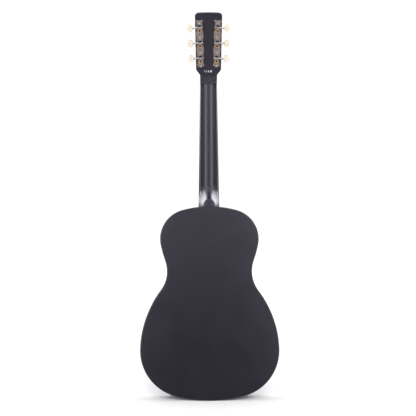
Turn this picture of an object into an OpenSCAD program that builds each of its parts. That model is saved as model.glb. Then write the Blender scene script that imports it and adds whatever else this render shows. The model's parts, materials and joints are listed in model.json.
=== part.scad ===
// Small-bodied steel-string acoustic guitar, drawn as the separate pieces it is built from.
// Every piece is drawn in a bench frame, in millimetres: X across, Y up the neck from the
// tail, Z out of the soundboard, whose outer face is Z = 0. stand() then sets it upright
// with the tail at the bottom, the soundboard facing -Y and the treble side at +X.

/* [Strings and scale] */
// Sounding length of the strings, from nut to saddle
scale_length = 628; // [622:1:634]
// Number of frets on the fingerboard
fret_count = 19; // [18:1:19]
// Distance between the outer strings at the nut
nut_spread = 36; // [35:0.5:37]
// Distance between the outer strings at the saddle
saddle_spread = 54; // [52:0.5:56]
// Height of the strings above the soundboard at the nut
nut_action = 7; // [6.9:0.05:7.2]
// Height of the strings above the soundboard at the saddle
saddle_action = 10.4; // [10:0.1:10.8]

/* [Body outline, arc by arc from the tail] */
// Radius at the tail
tail_r = 324; // [318:1:330]
// Angle turned at the tail
tail_sweep = 14.9; // [14.7:0.1:15.1]
// Radius at the hip, the corner of the lower bout
hip_r = 114.6; // [113:0.2:116]
// Angle turned at the hip
hip_sweep = 76.9; // [76.7:0.1:77.1]
// Radius of the flank, up to the waist
flank_r = 245.7; // [243:0.3:248]
// Angle turned along the flank
flank_sweep = 35.3; // [35.1:0.1:35.5]
// Radius of the hollow of the waist
waist_r = 78.3; // [77:0.3:80]
// Angle turned back at the waist
waist_sweep = 56.9; // [56.7:0.1:57.1]
// Radius of the chest, above the waist
chest_r = 265.3; // [262:0.3:268]
// Angle turned along the chest
chest_sweep = 8.6; // [8.4:0.1:8.8]
// Radius at the shoulder, the corner of the upper bout
shoulder_r = 71.6; // [71:0.1:73]
// Angle turned at the shoulder
shoulder_sweep = 85.4; // [85.2:0.1:85.6]

/* [Body] */
// Greatest depth of the body, from the soundboard to the crown of the back
body_depth = 100; // [96:1:104]
// Radius of the dome of the back
dome_r = 4500; // [4000:100:6000]
// Thickness of the soundboard
top_t = 3; // [2.6:0.1:3.2]
// Thickness of the back plate
back_t = 2.8; // [2.4:0.1:3]
// Thickness of the bent sides
side_t = 2.2; // [2:0.1:2.6]
// Width of the binding round the soundboard
binding_w = 2; // [1.6:0.1:2]
// Radius of the soundhole
hole_r = 46; // [44:0.5:47]

/* [Neck] */
// Width of the neck at the nut
nut_width = 42; // [41:0.5:43]
// Width of the neck where it meets the body
joint_width = 51; // [50:0.5:52]
// Depth of the neck's wood at the nut
neck_d_nut = 16; // [15.5:0.25:17]
// Depth of the neck's wood just above the heel
neck_d_joint = 18; // [17.5:0.25:19]
// Length of the nut along the strings
nut_len = 5; // [4.5:0.5:6]
// Thickness of the fingerboard at its middle
board_t = 5.5; // [5.4:0.1:5.6]
// Radius of the crown of the fingerboard
board_r = 304.8; // [254:10:406]
// Width of the heel cap
cap_w = 29; // [26:1:30]
// Length of the heel cap, out from the body
cap_len = 18.4; // [17.5:0.1:19.5]

/* [Headstock] */
// Angle at which the headstock leans back
head_tilt = 14; // [12:0.5:15]
// Length of the headstock along its face
head_len = 164.3; // [162:0.5:168]
// Thickness of the headstock
head_t = 14; // [13.5:0.5:15]
// Width of the headstock just above its shoulders
head_w_low = 62; // [60.5:0.5:63]
// Width of the headstock at its tip
head_w_tip = 67.6; // [66:0.2:69]

/* [Tuning machines] */
// Distance from the nut to the nearest string post, along the face
post_u = 45.2; // [44:0.2:46]
// Distance between neighbouring string posts
post_pitch = 37.5; // [37:0.1:38.5]
// Distance of the lowest posts from the centre line
post_x = 19.7; // [19:0.1:20]
// Angle between a row of posts and the centre line
row_angle = 1.9; // [1.5:0.1:2.2]
// Height of a tuning button
button_h = 19; // [17:0.5:20]
// Length of a tuning button along its shaft
button_l = 12.5; // [11:0.5:13.5]

/* [Hidden] */

// Colours
LACQUER = "#1c1c20";
ROSEWOOD = "#3b261b";
SPRUCE = "#dcbf8f";
MAHOGANY = "#8a5236";
BONE = "#ece4cf";
CREAM = "#ebe2c6";
NICKEL = "#b4ada0";
BRASS = "#c8a452";
STEEL = "#c9cacc";

// Gaps
glue = 0.1; // glue line under a piece that follows the dome
fit = 0.08; // running clearance of a shaft in its bore
eps = 0.05; // a string's clearance over what it rests on

// The outline of the body, as a chain of arcs that run on from each other.
// An arc is [signed radius, angle turned]: a negative radius hollows the outline.
ARCS = [
    [tail_r, tail_sweep], [hip_r, hip_sweep], [flank_r, flank_sweep],
    [-waist_r, waist_sweep], [chest_r, chest_sweep], [shoulder_r, shoulder_sweep],
];
chord = 8; // longest straight step along an arc of the outline

function left(h) = [-sin(h), cos(h)];
function steps(r, sweep) = ceil(abs(r) * sweep * PI / 180 / chord);
function close_arc(p, h, inset) =
    let (r = p.x / sin(h), n = steps(r + inset, 180 - h), c = p + r * left(h))
    [for (k = [1:n]) k < n ? c - r * left(h + (180 - h) * k / n) : [0, c.y + r]];
function chain(i, p, h, inset) =
    i == len(ARCS) ? close_arc(p, h, inset) :
    let (
        r = ARCS[i][0] - inset,
        turn = sign(ARCS[i][0]) * ARCS[i][1],
        n = steps(ARCS[i][0], ARCS[i][1]),
        c = p + r * left(h)
    )
    concat([for (k = [1:n]) c - r * left(h + turn * k / n)],
        chain(i + 1, c - r * left(h + turn), h + turn, inset));
function half_outline(inset) = concat([[0, inset]], chain(0, [0, inset], 0, inset));
function mirrored(pts) = [for (i = [len(pts) - 1:-1:0]) [-pts[i].x, pts[i].y]];
function inner(pts) = [for (i = [1:len(pts) - 2]) pts[i]];
function outline(inset) = concat(half_outline(inset), mirrored(inner(half_outline(inset))));
function reversed(pts) = [for (i = [len(pts) - 1:-1:0]) pts[i]];

// Main stations up the centre line
body_len = half_outline(0)[len(half_outline(0)) - 1].y;
nut_y = body_len + scale_length / 2; // the neck meets the body at the twelfth fret
nut_end = nut_y + nut_len;
saddle_y = nut_y - scale_length;
function fret_y(n) = nut_y - scale_length * (1 - pow(2, -n / 12));
board_end = fret_y(fret_count) - 3.6;
hole_y = board_end - hole_r - 12;

// The dome of the back
dome_y = 110.5; // where the back is deepest
dome_step = 40; // width of each band of the dome
function back_q(y) = body_depth - pow(y - dome_y, 2) / (2 * dome_r);

// Bridge
bridge_h = 8;
bridge_w = 156;
bridge_mid_w = 84;
bridge_wing_h = 3.2;
bridge_below = 22; // from the saddle to the bridge's lower edge
bridge_above = 8;
saddle_t = 3.2;
saddle_w = 74;
saddle_depth = 5;
pin_y = saddle_y - 14;
pin_r = 2.5;
string_hole_y = pin_y + 4.3;
string_hole_r = 1.1;
plate_t = 2.6; // bridge plate under the soundboard

// Strings, from the first, the highest, to the sixth
GAUGES = [0.3, 0.41, 0.61, 0.81, 1.07, 1.35];
function x_at(i, spread) = spread * (0.5 - (i - 1) / 5);
function crown(x, top) = top - x * x / (2 * board_r);
plane_y = (saddle_action + GAUGES[3] - body_depth) / 2; // puts the origin midway, front to back

// Linings and blocks
lining_w = 6;
lining_h = 13;
block_w = 68;
block_y = body_len - 54; // inner face of the neck block
tail_block_l = 22;
bolt_r = 3;
BOLT_Q = [32, 61]; // depths of the two neck bolts
pin_hole_q = 49; // depth of the hole for an end pin
pin_hole_r = 3.2;
graft_w = 18; // the end graft, at the tail
brace_inset = side_t + lining_w + 0.4;

// Truss rod
rod_q = 8.5;
rod_r = 2.8;
rod_end = nut_y - 14;
truss_nut_r = 3.9;
truss_nut_l = 13;

// Heel
cap_t = 2.5;
cap_q = back_q(body_len) - cap_t;
heel_q = 14; // depth at which the heel starts to leave the neck
heel_flare = 34; // how much longer the heel is at its root than at the cap
keel = 0.3; // half-width left where a section comes to a point

// Tuning machines, in the frame of one row: X outward, Y to the tip, Z to the front,
// from the back face of the headstock at the lowest post
base_t = 1.2;
gear_z = -4.8;
gear_w = 3.2;
gear_teeth = 14;
gear_m = 0.75;
tooth_share = 0.42; // of the pitch, on gear and worm alike
worm_pitch_r = 1.95;
worm_y = (gear_m * gear_teeth) / 2 + worm_pitch_r;
axial_pitch = PI * gear_m;
lead_angle = atan(axial_pitch / (2 * PI * worm_pitch_r));
addendum = 0.8 * gear_m;
dedendum = addendum + 0.2;
worm_turns = 3.4;
worm_steps = 20; // to a turn
shaft_r = 1.8;
lug_x = 5.4;
lug_w = 7.6;
button_x = 17.3;
post_r = 3.1;
post_top = head_t + 14;
string_h = 7; // height of the strings' turns above the headstock's face
spigot_r = 2;
screw_r = 1.2;
bushing_r = 4;
SCREW_Y = [-12.4, post_pitch - 16.8, 2 * post_pitch - 16.8, 2 * post_pitch + 17];

module stand() { translate([0, plane_y, 0]) rotate([90, 0, 0]) children(); }
module head_frame() { translate([0, nut_end, 0]) rotate([-head_tilt, 0, 0]) children(); }
// A row of machines, in the bench frame: side is 1 for the treble row and -1 for the bass row
module bench_row(side) {
    head_frame() mirror([side < 0 ? 1 : 0, 0, 0])
        translate([post_x, post_u, -head_t]) rotate([0, 0, -row_angle]) children();
}
module row(side) { stand() bench_row(side) children(); }
function side_of(i) = i > 3 ? -1 : 1;
function slot_of(i) = i > 3 ? 6 - i : i - 1;
module machine(i) { row(side_of(i)) translate([0, slot_of(i) * post_pitch, 0]) children(); }
module along_x(x0, l, r, sides = 48) {
    translate([x0, 0, 0]) rotate([0, 90, 0]) cylinder(r = r, h = l, $fn = sides);
}
module along_y(y0, l, r, sides = 48) {
    translate([0, y0 + l, 0]) rotate([90, 0, 0]) cylinder(r = r, h = l, $fn = sides);
}

// ---- Body ----
module slab(inset, z0, z1) { translate([0, 0, z0]) linear_extrude(z1 - z0) polygon(outline(inset)); }
// Everything in front of a dome that lies the given distance inside the back's outer face
module dome(inset) {
    rim = [for (k = [1:10]) [k * dome_step, pow(k * dome_step, 2) / (2 * dome_r)]];
    translate([0, dome_y, inset - body_depth]) rotate_extrude($fn = 240)
        polygon(concat([[0, rim[0].y]], rim, [[rim[9].x, body_depth], [0, body_depth]]));
}
module bolt_holes(r) {
    for (q = BOLT_Q) translate([0, 0, -q]) along_y(block_y - 10, 90, r);
    translate([0, 0, -rod_q]) along_y(block_y - 10, 90, rod_r + 0.4);
}
module pin_hole() { translate([0, 0, -pin_hole_q]) along_y(-5, tail_block_l + 20, pin_hole_r); }

module back_plate() {
    color(LACQUER) stand() difference() {
        intersection() {
            slab(0, -body_depth - 1, -body_depth / 2);
            dome(0);
        }
        dome(back_t);
    }
}

module half_rim() {
    rim = concat(half_outline(0), reversed(half_outline(side_t)));
    intersection() {
        translate([0, 0, -body_depth]) linear_extrude(body_depth - top_t) polygon(rim);
        dome(back_t);
    }
}
module graft_box() {
    translate([-graft_w / 2, -1, -body_depth - 1]) cube([graft_w, side_t + 2, body_depth + 2]);
}

module side(s) {
    color(LACQUER) stand() mirror([s < 0 ? 1 : 0, 0, 0]) difference() {
        half_rim();
        bolt_holes(bolt_r + 0.4);
        graft_box();
    }
}

// The strip that joins the two sides at the tail
module end_graft() {
    color(LACQUER) stand() difference() {
        intersection() {
            union() {
                half_rim();
                mirror([1, 0, 0]) half_rim();
            }
            graft_box();
        }
        pin_hole();
    }
}

// The bores for the strings and their pins, through bridge, soundboard and bridge plate
module string_bores() {
    for (i = [1:6]) {
        x = x_at(i, saddle_spread);
        translate([x, pin_y, -20]) cylinder(r = pin_r + 0.1, h = 40, $fn = 32);
        translate([x, string_hole_y, -20]) cylinder(r = string_hole_r, h = 40, $fn = 24);
    }
}

ROSETTE = [[3, 4], [5.4, 9.6], [11, 12]]; // inner and outer edge of each ring, out from the soundhole
rosette_t = 0.8;
module rosette_rings(h) {
    for (ring = ROSETTE) translate([0, hole_y, -rosette_t]) difference() {
        cylinder(r = hole_r + ring[1], h = h, $fn = 96);
        translate([0, 0, -1]) cylinder(r = hole_r + ring[0], h = h + 2, $fn = 96);
    }
}

module soundboard() {
    color(LACQUER) stand() difference() {
        slab(binding_w, -top_t, 0);
        translate([0, hole_y, -top_t - 1]) cylinder(r = hole_r, h = top_t + 2, $fn = 96);
        rosette_rings(2);
        string_bores();
    }
}

module rosette() { color(BONE) stand() rosette_rings(rosette_t); }

module top_binding() {
    color(BONE) stand() difference() {
        slab(0, -top_t, 0);
        slab(binding_w, -top_t - 1, 1);
    }
}

module block_box(y0, y1) {
    translate([-block_w / 2, y0, -body_depth]) cube([block_w, y1 - y0, body_depth - top_t]);
}
module neck_block_box() { block_box(block_y, block_y + 80); }
module tail_block_box() { block_box(-20, side_t + tail_block_l); }

module neck_block() {
    color(MAHOGANY) stand() difference() {
        intersection() {
            slab(side_t, -body_depth, -top_t);
            neck_block_box();
            dome(back_t + glue);
        }
        bolt_holes(bolt_r + 0.2);
        translate([0, 0, -rod_q]) along_y(block_y - 5, truss_nut_l + 5, truss_nut_r + 0.4);
    }
}

module tail_block() {
    color(MAHOGANY) stand() difference() {
        intersection() {
            slab(side_t, -body_depth, -top_t);
            tail_block_box();
            dome(back_t + glue);
        }
        pin_hole();
    }
}

// The strips inside the corners, round the soundboard and round the back
module linings() {
    color(SPRUCE) stand() difference() {
        union() {
            slab(side_t, -top_t - lining_h, -top_t);
            difference() {
                intersection() {
                    slab(side_t, -body_depth, -body_depth / 2);
                    dome(back_t + glue);
                }
                dome(back_t + lining_h);
            }
        }
        slab(side_t + lining_w, -body_depth - 1, 1);
        neck_block_box();
        tail_block_box();
    }
}

// A straight brace: its middle, its angle from X, its length, width and height
module bar(p, angle, l, w, h) {
    translate([p.x, p.y, -top_t - h]) rotate([0, 0, angle]) translate([-l / 2, -w / 2, 0]) cube([l, w, h]);
}
cross_y = hole_y - 79; // where the two long braces cross
cross_angle = 48.5;
module top_bracing() {
    color(SPRUCE) stand() difference() {
        intersection() {
            slab(brace_inset, -body_depth / 2, -top_t);
            union() {
                for (s = [-1, 1]) {
                    bar([0, cross_y], s * cross_angle, 620, 7.6, 14);
                    bar([s * 118, saddle_y + 22], s * -12, 90, 6, 8);
                    bar([s * 84, hole_y + 4], s * 12, 62, 6, 8);
                    bar([0, saddle_y - 40 - 28 * (s + 1) / 2], 14, 200, 6.4, 10);
                }
                bar([0, board_end + 6], 0, 300, 12, 15);
                translate([0, saddle_y - 5, 0]) bar([0, 0], 0, 128, 40, plate_t);
            }
        }
        string_bores();
        translate([0, 0, -rod_q]) along_y(board_end - 5, 40, truss_nut_r + 0.6);
    }
}

back_brace_h = 14;
BACK_BRACES = [60, 150, 262, 372]; // stations of the ladder braces of the back, from the tail
module back_bracing() {
    color(SPRUCE) stand() difference() {
        intersection() {
            slab(brace_inset, -body_depth, -top_t);
            dome(back_t + glue);
            union() {
                for (y = BACK_BRACES) translate([-200, y - 4, -body_depth]) cube([400, 8, body_depth / 2]);
                translate([-10, tail_block_l + 6, -body_depth])
                    cube([20, block_y - tail_block_l - 10, body_depth / 2]);
            }
        }
        difference() {
            dome(back_t + 2.4);
            for (y = BACK_BRACES) translate([-200, y - 4, -body_depth]) cube([400, 8, body_depth]);
        }
        dome(back_t + back_brace_h);
    }
}

// ---- Bridge ----
module bridge() {
    half = [
        [bridge_mid_w / 2, bridge_h], [bridge_mid_w / 2 + 12, bridge_wing_h + 1.2],
        [bridge_w / 2, bridge_wing_h], [bridge_w / 2, 0],
    ];
    profile = concat(half, mirrored(half));
    color(ROSEWOOD) stand() difference() {
        translate([0, saddle_y + bridge_above, 0]) rotate([90, 0, 0])
            linear_extrude(bridge_above + bridge_below) polygon(profile);
        saddle_block();
        string_bores();
        for (i = [1:6]) translate([x_at(i, saddle_spread), string_hole_y, bridge_h - 3])
            cylinder(r1 = string_hole_r, r2 = 3, h = 3.001, $fn = 24);
    }
}

module saddle_block() {
    translate([-saddle_w / 2, saddle_y - saddle_t / 2, bridge_h - saddle_depth])
        cube([saddle_w, saddle_t, 20]);
}
module saddle() {
    color(BONE) stand() intersection() {
        saddle_block();
        translate([0, 0, saddle_action - board_r]) along_y(saddle_y - 5, 10, board_r, 240);
    }
}

module bridge_pins() {
    profile = [
        [0, -12], [pin_r - 0.5, -12], [pin_r, 0], [pin_r, bridge_h], [3.7, bridge_h],
        [3.7, bridge_h + 0.8], [2.8, bridge_h + 1.9], [1.2, bridge_h + 2.4], [0, bridge_h + 2.4],
    ];
    color(BONE) stand() for (i = [1:6]) translate([x_at(i, saddle_spread), pin_y, 0])
        rotate_extrude($fn = 32) polygon(profile);
}

// ---- Neck ----
function neck_hw(y) = nut_width / 2 + (joint_width - nut_width) / scale_length * max(nut_y - y, 0);
function neck_q(y) = neck_d_nut + (neck_d_joint - neck_d_nut) * 2 / scale_length * max(nut_y - y, 0);
// 1 at the root of the heel and 0 at its cap
function heel_fade(q) = 1 - min(max((q - heel_q) / (cap_q - heel_q), 0), 1);
function heel_len(q) = cap_len + heel_flare * pow(heel_fade(q), 3);
function heel_hw(q) = (cap_w + (joint_width - 0.4 - cap_w) * pow(heel_fade(q), 2)) / 2;
neck_power = 2.3; // 2 is an ellipse, higher is squarer
function shaft_w(y, q) =
    let (s = q / neck_q(y))
    s >= 1 ? 0 : neck_hw(y) * pow(1 - pow(s, neck_power), 1 / neck_power);
function heel_w(y, q) =
    let (s = max(y - body_len, 0) / heel_len(q))
    s >= 1 ? 0 : heel_hw(q) * sqrt(1 - s * s);
function deepest(y) = let (d = y - body_len) max(neck_q(y), d >= cap_len + heel_flare ? 0 :
    cap_q - (cap_q - heel_q) * pow(max(d - cap_len, 0) / heel_flare, 1 / 3));
section_levels = 16;
function neck_section(y) =
    let (half = [
        for (j = [0:section_levels])
            let (q = deepest(y) * sin(90 * j / section_levels))
            [max(shaft_w(y, q), heel_w(y, q), keel), -q]
    ])
    [for (p = concat(half, mirrored(half))) [p.x, y, p.y]];
neck_stop = nut_end + 7;
NECK_STATIONS = concat(
    [body_len - 3],
    [for (k = [0:5]) body_len + cap_len * sin(16 * k)],
    [for (s = [0.1:0.1:1.01]) body_len + cap_len + heel_flare * pow(s, 3)],
    [for (k = [1:7]) body_len + 52 + (neck_stop - body_len - 52) * k / 7]
);

// A closed skin over a list of rings that have the same number of points
module skin(rings) {
    m = len(rings[0]);
    n = len(rings);
    points = [for (ring = rings) each ring];
    walls = [for (i = [0:n - 2], j = [0:m - 1]) let (a = i * m + j, b = i * m + (j + 1) % m) each
        [[a, b + m, b], [a, a + m, b + m]]];
    ends = [[for (j = [0:m - 1]) j], [for (j = [m - 1:-1:0]) (n - 1) * m + j]];
    polyhedron(points = points, faces = concat(walls, ends), convexity = 6);
}

module neck() {
    color(LACQUER) stand() difference() {
        skin([for (y = NECK_STATIONS) neck_section(y)]);
        slab(0, -body_depth - 1, 1);
        head_frame() translate([-50, 0, -head_t]) cube([100, 50, 60]);
        for (q = BOLT_Q) translate([0, 0, -q]) along_y(body_len - 10, 25, bolt_r + 0.1);
        translate([-rod_r - 0.4, body_len - 5, -rod_q - rod_r - 0.4])
            cube([2 * rod_r + 0.8, rod_end - body_len + 6, 20]);
    }
}

module heel_cap() {
    arch = [for (k = [0:24]) [cap_w / 2 * cos(7.5 * k), body_len + cap_len * sin(7.5 * k)]];
    color(LACQUER) stand() difference() {
        translate([0, 0, -cap_q - cap_t]) linear_extrude(cap_t)
            polygon(concat([[cap_w / 2, body_len - 3]], arch, [[-cap_w / 2, body_len - 3]]));
        slab(0, -body_depth - 1, 1);
    }
}

// Half-width of the headstock at a distance u from the nut
shoulder_u0 = 7;
shoulder_u1 = 26;
function ease(t) = t * t * (3 - 2 * t);
function shoulder(u) = ease(max(u - shoulder_u0, 0) / (shoulder_u1 - shoulder_u0));
function head_w(u) =
    u < shoulder_u1
    ? nut_width + (head_w_low - nut_width) * shoulder(u)
    : head_w_low + (head_w_tip - head_w_low) * (u - shoulder_u1) / (head_len - shoulder_u1);
function head_hw(u) = head_w(u) / 2;
corner_r = 7;
tip_crown = 1.5; // how far the tip is higher at its middle than at its corners
module headstock() {
    corner_u = head_len - tip_crown - corner_r;
    corner_x = head_hw(corner_u) - corner_r;
    half = concat(
        [for (u = [0, 5, 8, 11, 14, 17, 20, 23, 26]) [head_hw(u), u]],
        [for (a = [0:15:75]) [corner_x + corner_r * cos(a), corner_u + corner_r * sin(a)]],
        [for (k = [0:3]) let (x = corner_x * (1 - k / 4)) [x, head_len - tip_crown * pow(1 - k / 4, 2)]]
    );
    color(LACQUER) stand() difference() {
        head_frame() translate([0, 0, -head_t]) linear_extrude(head_t)
            polygon(concat(half, [[0, head_len]], mirrored(half)));
        for (i = [1:6]) bench_row(side_of(i)) translate([0, slot_of(i) * post_pitch, -1])
            cylinder(r = bushing_r, h = head_t + 2, $fn = 48);
        for (s = [-1, 1], y = SCREW_Y) bench_row(s) translate([0, y, -1])
            cylinder(r = screw_r, h = 10.5, $fn = 24);
    }
}

module board_crown() {
    translate([0, 0, board_t - board_r]) along_y(board_end - 10, nut_y - board_end + 20, board_r, 240);
}
fret_r = 1.05; // half the width of a fret's crown
fret_tang = 0.3; // half the thickness of a fret's tang
tang_z = 3; // floor of the fret slots
MARKERS = [[5, 0], [7, 0], [9, 0], [12, -11], [12, 11], [15, 0]]; // fret, and place across
function marker_y(n) = (fret_y(n) + fret_y(n - 1)) / 2;
marker_r = 3;
marker_z = 3.9; // floor of the markers' bores
module fingerboard() {
    color(ROSEWOOD) stand() difference() {
        intersection() {
            linear_extrude(board_t + 1) polygon([
                [neck_hw(nut_y), nut_y], [-neck_hw(nut_y), nut_y],
                [-neck_hw(board_end), board_end], [neck_hw(board_end), board_end]]);
            board_crown();
        }
        for (n = [1:fret_count]) translate([-50, fret_y(n) - fret_tang, tang_z])
            cube([100, 2 * fret_tang, 10]);
        for (m = MARKERS) translate([m[1], marker_y(m[0]), marker_z])
            cylinder(r = marker_r, h = 10, $fn = 32);
    }
}

module fret_markers() {
    color(BONE) stand() for (m = MARKERS) translate([m[1], marker_y(m[0]), marker_z])
        cylinder(r = marker_r, h = crown(abs(m[1]) + marker_r, board_t) - marker_z, $fn = 32);
}

module frets() {
    color(STEEL) stand() for (n = [1:fret_count]) {
        hw = neck_hw(fret_y(n)) - 0.4;
        half_angle = asin(hw / board_r);
        translate([0, fret_y(n), board_t - board_r]) rotate([-90, 0, 0]) rotate([0, 0, -90 - half_angle])
            rotate_extrude(angle = 2 * half_angle, $fn = 240) {
                translate([board_r, 0]) intersection() {
                    circle(r = fret_r, $fn = 24);
                    translate([0, -fret_r]) square([fret_r, 2 * fret_r]);
                }
            }
        intersection() {
            translate([-hw, fret_y(n) - fret_tang, tang_z]) cube([2 * hw, 2 * fret_tang, 10]);
            translate([0, 0, board_t - board_r]) along_y(fret_y(n) - 1, 2, board_r + fret_r / 2, 240);
        }
    }
}

nut_top = nut_action + 0.9;
module nut() {
    color(BONE) stand() difference() {
        intersection() {
            translate([-nut_width / 2, nut_y, 0]) cube([nut_width, nut_len, 20]);
            translate([0, 0, nut_top - board_r]) along_y(nut_y - 5, 20, board_r, 240);
        }
        for (i = [1:6]) {
            p = nut_break(i);
            d = string_end(i) - p;
            slot_w = GAUGES[i - 1] + 2 * eps;
            translate(p - [0, 0, slot_w / 2]) rotate([atan2(d.z, norm([d.x, d.y])), 0, -atan2(d.x, d.y)])
                translate([-slot_w / 2, -3, 0]) cube([slot_w, 14, 6]);
        }
    }
}

module truss_rod() {
    color(STEEL) stand() translate([0, 0, -rod_q]) along_y(block_y + 5, rod_end - block_y - 5, rod_r);
}

module truss_rod_nut() {
    color(BRASS) stand() translate([0, 0, -rod_q]) difference() {
        along_y(block_y - 2, truss_nut_l, truss_nut_r);
        along_y(block_y - 3, 7, 2.3, 6);
        along_y(block_y + 4.5, truss_nut_l, rod_r + fit);
    }
}

module neck_bolts() {
    color(STEEL) stand() for (q = BOLT_Q) translate([0, 0, -q]) {
        along_y(block_y - 1.6, 1.6, 8);
        along_y(block_y - 6, 4.4, 5.8, 6);
        along_y(block_y, body_len - block_y + 13, bolt_r);
    }
}

// ---- Tuning machines ----
// Half of a plate's outline, [half-width, height]: a winged foot under the first gear, a wide
// panel below each of the other two, and a forked end above the last worm
wide = 9;
narrow = 7.4;
function panel(y) = [[narrow, y - 19], [wide, y - 17.4], [wide, y - 3.6], [narrow, y - 2]];
PLATE_FOOT = [
    [0, -15.8], [2.6, -15.4], [4.4, -13.8], [6.8, -12.6], [8.8, -10.6], [8.6, -8.4], [6.8, -6.8],
    [6.6, 1], [narrow, 3],
];
PLATE_FORK = [[narrow, 13], [6.6, 16], [6.8, 19.6], [8.8, 23.4], [8.9, 26.4], [6, 25.4], [0, 24.8]];
PLATE_EDGE = concat(
    PLATE_FOOT, panel(post_pitch), panel(2 * post_pitch),
    [for (p = PLATE_FORK) p + [0, 2 * post_pitch]]
);
rib_w = 1;
rib_h = 0.4;
window = [8, 4.6]; // opening that the bent-up lugs leave beside each worm
module tuner_plate(s) {
    color(NICKEL) row(s) difference() {
        union() {
            translate([0, 0, -base_t]) linear_extrude(base_t)
                polygon(concat(PLATE_EDGE, mirrored(inner(PLATE_EDGE))));
            for (k = [1, 2], e = [-1, 1])
                translate([e * (wide - 1.2) - rib_w / 2, k * post_pitch - 16.6, -base_t - rib_h])
                    cube([rib_w, 12.2, 2 * rib_h]);
            for (k = [0:2], e = [-1, 1]) translate([0, k * post_pitch + worm_y, 0]) {
                x0 = e > 0 ? lug_x : -lug_x - base_t;
                translate([0, 0, gear_z]) along_x(x0, base_t, lug_w / 2);
                translate([x0, -lug_w / 2, gear_z]) cube([base_t, lug_w, -gear_z - base_t / 2]);
            }
        }
        for (k = [0:2]) translate([0, k * post_pitch, 0]) {
            translate([0, 0, -3]) cylinder(r = post_r + 0.25, h = 6, $fn = 48);
            translate([0, worm_y, gear_z]) along_x(-10, 20, shaft_r + fit);
            translate([-window.x / 2, worm_y + 1.4, -3]) cube([window.x, window.y, 6]);
        }
        for (k = [1, 2]) translate([0, k * post_pitch - 9.8, -3]) cylinder(r = 1.1, h = 6, $fn = 24);
        for (y = SCREW_Y) translate([0, y, -3]) cylinder(r = screw_r, h = 6, $fn = 24);
    }
}

module tuner_screws() {
    color(NICKEL) for (s = [-1, 1], y = SCREW_Y) row(s) translate([0, y, 0]) difference() {
        rotate_extrude($fn = 24) polygon([
            [0, 9], [screw_r * 0.4, 8.4], [screw_r, 7], [screw_r, -base_t],
            [2.4, -base_t], [2.2, -base_t - 0.7], [1.4, -base_t - 1.2], [0, -base_t - 1.35]]);
        translate([-3, -0.3, -base_t - 3]) cube([6, 0.6, 2.3]);
    }
}

module tuner_bushings() {
    color(NICKEL) for (i = [1:6]) machine(i) difference() {
        union() {
            translate([0, 0, head_t - 9]) cylinder(r = bushing_r, h = 9, $fn = 48);
            translate([0, 0, head_t]) cylinder(r = 5, h = 1, $fn = 48);
        }
        cylinder(r = post_r + fit, h = head_t + 5, $fn = 48);
    }
}

module string_post(i) {
    profile = [
        [0, gear_z - gear_w / 2], [spigot_r, gear_z - gear_w / 2], [spigot_r, gear_z + gear_w / 2],
        [post_r, gear_z + gear_w / 2], [post_r, head_t + 3.6], [post_r - 0.4, head_t + 4.6],
        [post_r - 0.4, head_t + 9.4], [post_r, head_t + 10.4], [post_r, post_top - 0.8],
        [post_r - 0.8, post_top], [0, post_top],
    ];
    color(NICKEL) machine(i) difference() {
        rotate_extrude($fn = 48) polygon(profile);
        translate([0, 0, gear_z - gear_w]) cylinder(r = screw_r, h = gear_w + 4, $fn = 24);
        translate([0, 0, head_t + string_h]) rotate([0, 0, 40]) along_x(-6, 12, 0.9, 24);
    }
}

module gear(i) {
    pitch_r = gear_m * gear_teeth / 2;
    root_r = pitch_r - dedendum;
    half_t = tooth_share * axial_pitch / 2;
    flank = tan(20);
    tooth = [
        [-half_t - dedendum * flank, root_r - 0.4],
        [half_t + dedendum * flank, root_r - 0.4],
        [half_t - addendum * flank, pitch_r + addendum],
        [-half_t + addendum * flank, pitch_r + addendum],
    ];
    color(BRASS) machine(i) translate([0, 0, gear_z]) difference() {
        union() {
            translate([0, 0, -gear_w / 2]) cylinder(r = root_r, h = gear_w, $fn = 64);
            intersection() {
                translate([0, 0, -gear_w / 2]) cylinder(r = 7, h = gear_w, $fn = 64);
                for (k = [0:gear_teeth - 1]) rotate([0, 0, 360 * k / gear_teeth])
                    rotate([0, -lead_angle, 0]) translate([0, 0, -gear_w])
                        linear_extrude(2 * gear_w) polygon(tooth);
            }
        }
        translate([0, 0, -gear_w]) cylinder(r = spigot_r, h = 2 * gear_w, $fn = 48);
    }
}

module gear_screw(i) {
    seat = gear_z - gear_w / 2;
    color(NICKEL) machine(i) difference() {
        rotate_extrude($fn = 32) polygon([
            [0, seat + gear_w + 0.6], [screw_r, seat + gear_w], [screw_r, seat], [2.5, seat],
            [2.5, seat - 0.6], [2, seat - 1.1], [0, seat - 1.4]]);
        translate([-0.45, -4, seat - 3]) cube([0.9, 8, 2.35]);
    }
}

// One ring of the worm's thread, at a turning angle
function thread_ring(angle) =
    let (
        half_t = tooth_share * axial_pitch / 2,
        root = worm_pitch_r - dedendum - 0.25,
        tip = worm_pitch_r + addendum,
        foot = half_t + (worm_pitch_r - root) * tan(20),
        crest = half_t - addendum * tan(20),
        x = axial_pitch * angle / 360
    )
    [
        for (p = [[root, -foot], [root, foot], [tip, crest], [tip, -crest]])
            [x + p.y, p.x * cos(angle), p.x * sin(angle)]
    ];

module worm_shaft(i) {
    turns = worm_turns * worm_steps / 2;
    worm_l = axial_pitch * worm_turns / 2;
    color(NICKEL) machine(i) translate([0, worm_y, gear_z]) union() {
        skin([for (k = [-turns:turns]) thread_ring(k * 360 / worm_steps)]);
        along_x(-worm_l - 0.9, 2 * worm_l + 1.8, worm_pitch_r - dedendum);
        along_x(-lug_x - base_t - 0.9, lug_x + base_t - worm_l, shaft_r);
        along_x(worm_l + 0.6, button_x - worm_l + 6.8, shaft_r);
        along_x(button_x - 4.2, 4.2, 2.7);
    }
}

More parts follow.
